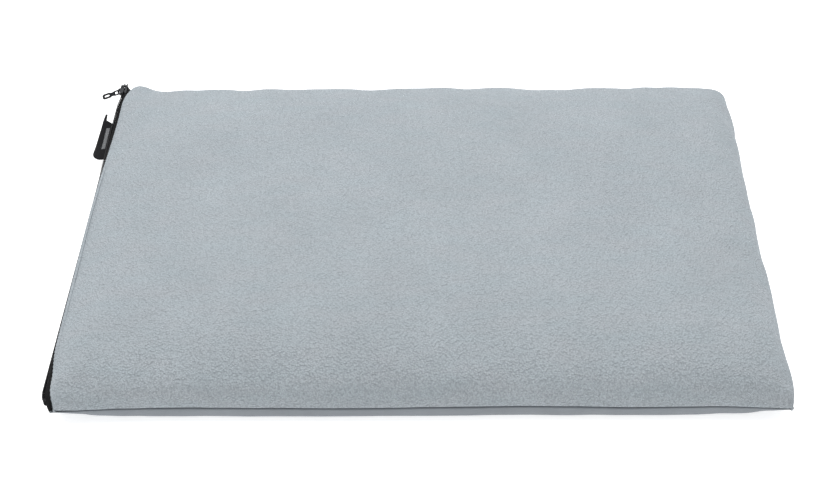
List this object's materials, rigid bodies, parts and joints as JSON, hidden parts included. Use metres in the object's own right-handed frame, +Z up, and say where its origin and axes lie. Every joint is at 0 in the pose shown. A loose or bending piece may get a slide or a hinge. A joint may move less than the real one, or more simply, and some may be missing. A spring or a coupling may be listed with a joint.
{
  "type": "camp pillow",
  "caption": "Thin rectangular foam camp pillow in a two-fabric cover with a coil zip along one short end, a swinging zip pull and a side tab.",
  "frame": {"origin": "centre of the flat underside", "axes": "+X along the pillow's length away from the zip end, +Y from the front edge to the rear edge, +Z up"},
  "size_m": [0.615, 0.4058, 0.06],
  "materials": {
    "brushed_fleece": "matte",
    "woven_grey": "matte",
    "liner_knit": "matte",
    "liner_thread": "matte",
    "foam": "matte",
    "zip_tape": "matte",
    "zip_coil": "satin",
    "slider_metal": "satin",
    "grey_thread": "matte",
    "black_thread": "matte",
    "label_black": "matte",
    "care_label_white": "matte"
  },
  "bodies": {
    "root": {"cover_top_panel": "brushed_fleece", "cover_bottom_panel": "woven_grey", "cover_seam_thread_front": "grey_thread", "cover_seam_thread_rear": "grey_thread", "cover_seam_thread_end": "grey_thread", "cover_overlock_front": "grey_thread", "cover_overlock_rear": "grey_thread", "cover_overlock_end": "grey_thread", "liner_top_panel": "liner_knit", "liner_bottom_panel": "liner_knit", "liner_seam_thread": "liner_thread", "foam_core": "foam", "zip_tape_lower": "zip_tape", "zip_coil_lower": "zip_coil", "zip_stitch_lower": "black_thread", "zip_top_stop_upper": "slider_metal", "zip_top_stop_lower": "slider_metal", "zip_bottom_stop": "slider_metal", "side_label_stitch": "black_thread", "care_label": "care_label_white"},
    "mouth": {"cover_top_flap": "brushed_fleece", "zip_tape_upper": "zip_tape", "zip_coil_upper": "zip_coil", "zip_stitch_upper": "black_thread"},
    "slider": {"slider_body": "slider_metal"},
    "pull": {"slider_pull": "slider_metal"},
    "label": {"side_label": "label_black"}
  },
  "joints": [
    {"name": "slider_travel", "type": "slide", "parent": "root", "child": "slider", "axis": [-0.009, -0.9998, -0.015], "range_m": [0, 0.372], "deforming": ["zip_coil_upper", "zip_coil_lower"]},
    {"name": "pull_swing", "type": "hinge", "parent": "slider", "child": "pull", "pos_m": [-0.29953, 0.197, 0.02545], "axis": [0, 0, 1], "range_deg": [-115, 55]},
    {"name": "mouth_open", "type": "hinge", "parent": "root", "child": "mouth", "pos_m": [-0.234, 0, 0.0556], "axis": [0, 1, 0], "range_deg": [0, 32], "deforming": ["zip_tape_upper", "zip_coil_upper"]},
    {"name": "label_flex", "type": "hinge", "parent": "root", "child": "label", "pos_m": [-0.2969, 0.142, 0.017], "axis": [0, 1, 0], "range_deg": [-30, 70], "stiffness_Nm_per_rad": 0.0005}
  ],
  "couplings": [
    {"joint": "mouth_open", "follows": "slider_travel", "rad_per_m": 1.5}
  ]
}
